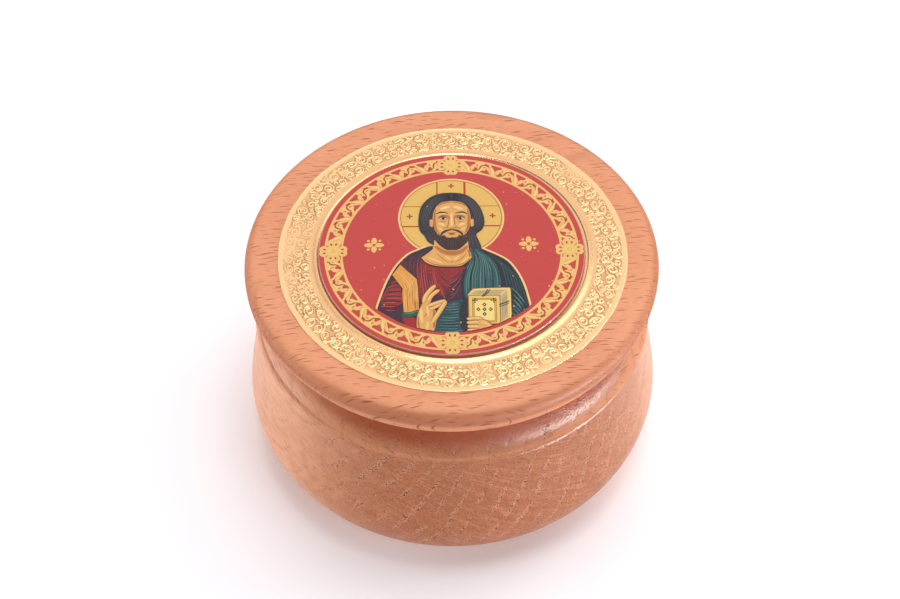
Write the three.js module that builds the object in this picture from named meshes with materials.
// Turned beech box for incense, with a lift-off lid that carries an embossed foil and a round printed plate.
// Units are millimetres and +Z is up. The origin is the centre of the flat base.
import * as THREE from "three";

// The lid, seen from above: its widest radius drives the radii of the whole box.
const lidRadius = 40;
const lidThickness = 5.7;
const lidShoulderWidth = 3.2;
const lidShoulderDrop = 2.2;
const lidLowerInset = 1;
const lidLowerRound = 0.5;

// The spigot under the lid, which drops into the mouth of the bowl.
const spigotDepth = 4;
const spigotClearance = 0.3;
const spigotChamfer = 0.6;

// The foil on the lid and the printed plate on the foil.
const bareWoodWidth = 3.2;
const foilBandWidth = 8;
const foilThickness = 0.2;
const foilEdgeWidth = 0.6;
const foilEdgeHeight = 0.12;
const foilBeadWidth = 0.9;
const foilBeadHeight = 0.25;
const plateClearance = 0.3;
const plateThickness = 0.6;
const plateEdgeRound = 0.12;

// The outside of the bowl: neck under the lid, crest, crease, side, belly and rounded underside.
const bowlHeight = 44.3;
const lidOverhang = 4;
const neckDrop = 3.2;
const rimFlare = 0.9;
const crestDrop = 10;
const crestFlare = 3.1;
const crestHeight = 0.9;
const creaseDepth = 0.35;
const bellySwell = 2.4;
const underRound = 15;
const baseCut = 0.7;

// The inside of the bowl: the wall at the neck, the lip, the floor and the round where they meet.
const neckWall = 4.5;
const lipRound = 0.8;
const floorThickness = 6;
const floorRound = 6;

// How finely round shapes are divided.
const turns = 64;
const curveSteps = 10;
const smallCurveSteps = 3;

// Radii and heights that follow from the sizes above.
const neckRadius = lidRadius - lidOverhang;
const rimRadius = neckRadius + rimFlare;
const crestRadius = neckRadius + crestFlare;
const bellyRadius = crestRadius + bellySwell;
const bellyHeight = underRound - baseCut;
const boreRadius = neckRadius - neckWall;
const spigotRadius = boreRadius - spigotClearance;
const lidTop = bowlHeight + lidThickness;
const foilRadius = lidRadius - lidShoulderWidth - bareWoodWidth;
const foilTop = lidTop + foilThickness;
const plateRadius = foilRadius - foilBandWidth;

const beech = new THREE.MeshStandardMaterial({ color: 0xd99b74, roughness: 0.42, metalness: 0 });
const goldFoil = new THREE.MeshStandardMaterial({ color: 0xe3b96c, roughness: 0.3, metalness: 1 });
const redPrint = new THREE.MeshStandardMaterial({ color: 0xb5382f, roughness: 0.3, metalness: 0 });

// A profile is a list of points (radius, height), and it starts and ends on the axis.
function point(radius, height) {
  return new THREE.Vector2(radius, height);
}

// The points of a curve after its first one, because a profile already holds that one.
function along(curve, steps) {
  return curve.getPoints(steps).slice(1);
}

// A quarter of an ellipse, or part of one, from one angle to another in the plane of the profile.
function arc(centreRadius, centreHeight, acrossRadius, upRadius, from, to) {
  return new THREE.EllipseCurve(centreRadius, centreHeight, acrossRadius, upRadius, from, to, to < from);
}

// Turns a profile about the upright axis into a closed solid.
function turned(name, profile, material) {
  const geometry = new THREE.LatheGeometry(profile, turns);
  geometry.rotateX(Math.PI / 2);
  const mesh = new THREE.Mesh(geometry, material);
  mesh.name = name;
  return mesh;
}

function bowlOutside() {
  const underCentre = bellyRadius - underRound;
  const baseAngle = -Math.asin(bellyHeight / underRound);
  const baseRadius = underCentre + underRound * Math.cos(baseAngle);
  const crest = bowlHeight - crestDrop;
  const crease = point(crestRadius - creaseDepth, crest - crestHeight);
  const coveStart = point(crestRadius - creaseDepth, crest + crestHeight / 2);
  const neck = point(neckRadius, bowlHeight - neckDrop);
  const sideThird = (crease.y - bellyHeight) / 3;
  const coveThird = (neck.y - coveStart.y) / 3;
  const coveHalfFlare = (coveStart.x - neckRadius) / 2;
  const side = new THREE.CubicBezierCurve(
    point(bellyRadius, bellyHeight),
    point(bellyRadius, bellyHeight + sideThird / 2),
    point(crease.x + creaseDepth, crease.y - sideThird),
    crease,
  );
  const cove = new THREE.CubicBezierCurve(
    coveStart,
    point(neckRadius + coveHalfFlare, coveStart.y + coveThird / 2),
    point(neckRadius, neck.y - 2 * coveThird),
    neck,
  );
  const rim = new THREE.QuadraticBezierCurve(
    neck,
    point(neckRadius, bowlHeight - neckDrop / 2),
    point(rimRadius, bowlHeight),
  );
  // This curve's middle lies halfway from its chord to its control point, so it peaks at the crest's radius.
  const noseControl = point(crestRadius + creaseDepth, crest);
  const crestNose = new THREE.QuadraticBezierCurve(crease, noseControl, coveStart);
  return [
    point(0, 0),
    point(baseRadius, 0),
    ...along(arc(underCentre, bellyHeight, underRound, underRound, baseAngle, 0), curveSteps),
    ...along(side, curveSteps),
    ...along(crestNose, 2 * smallCurveSteps),
    ...along(cove, curveSteps),
    ...along(rim, smallCurveSteps),
  ];
}

function bowlInside() {
  const roundCentre = boreRadius - floorRound;
  const roundHeight = floorThickness + floorRound;
  const lipRadius = boreRadius + lipRound;
  const lip = arc(lipRadius, bowlHeight - lipRound, lipRound, lipRound, Math.PI / 2, Math.PI);
  return [
    point(lipRadius, bowlHeight),
    ...along(lip, smallCurveSteps),
    point(boreRadius, roundHeight),
    ...along(arc(roundCentre, roundHeight, floorRound, floorRound, 0, -Math.PI / 2), curveSteps),
    point(0, floorThickness),
  ];
}

function makeBowl() {
  return turned("bowl", [...bowlOutside(), ...bowlInside()], beech);
}

function makeLid() {
  const lowerRadius = lidRadius - lidLowerInset;
  const widest = lidTop - lidShoulderDrop;
  const lowerRoundTop = bowlHeight + lidLowerRound;
  const side = new THREE.QuadraticBezierCurve(
    point(lowerRadius, lowerRoundTop),
    point(lidRadius, widest - (widest - lowerRoundTop) / 2),
    point(lidRadius, widest),
  );
  const undersideRadius = lowerRadius - lidLowerRound;
  const topRadius = lidRadius - lidShoulderWidth;
  const lowerEdge = arc(undersideRadius, lowerRoundTop, lidLowerRound, lidLowerRound, -Math.PI / 2, 0);
  const shoulder = arc(topRadius, widest, lidShoulderWidth, lidShoulderDrop, 0, Math.PI / 2);
  const profile = [
    point(0, bowlHeight - spigotDepth),
    point(spigotRadius - spigotChamfer, bowlHeight - spigotDepth),
    point(spigotRadius, bowlHeight - spigotDepth + spigotChamfer),
    point(spigotRadius, bowlHeight),
    point(undersideRadius, bowlHeight),
    ...along(lowerEdge, smallCurveSteps),
    ...along(side, smallCurveSteps),
    ...along(shoulder, curveSteps),
    point(0, lidTop),
  ];
  return turned("lid", profile, beech);
}

// The half-round of a raised line that starts at an outer radius and runs inwards.
function raisedLine(outerRadius, width, height) {
  return arc(outerRadius - width / 2, foilTop, width / 2, height, 0, Math.PI);
}

function makeFoil() {
  const beadOuterRadius = plateRadius + plateClearance + foilBeadWidth;
  const profile = [
    point(0, lidTop),
    point(foilRadius, lidTop),
    point(foilRadius, foilTop),
    ...along(raisedLine(foilRadius, foilEdgeWidth, foilEdgeHeight), 2 * smallCurveSteps),
    point(beadOuterRadius, foilTop),
    ...along(raisedLine(beadOuterRadius, foilBeadWidth, foilBeadHeight), 2 * smallCurveSteps),
    point(0, foilTop),
  ];
  return turned("embossed_foil", profile, goldFoil);
}

function makePlate() {
  const plateTop = foilTop + plateThickness;
  const wallTop = plateTop - plateEdgeRound;
  const edge = arc(plateRadius - plateEdgeRound, wallTop, plateEdgeRound, plateEdgeRound, 0, Math.PI / 2);
  const profile = [
    point(0, foilTop),
    point(plateRadius, foilTop),
    point(plateRadius, wallTop),
    ...along(edge, smallCurveSteps),
    point(0, plateTop),
  ];
  return turned("medallion_plate", profile, redPrint);
}

const box = new THREE.Group();
const liftOff = new THREE.Group();
liftOff.add(makeLid(), makeFoil(), makePlate());
box.add(makeBowl(), liftOff);

export default box;
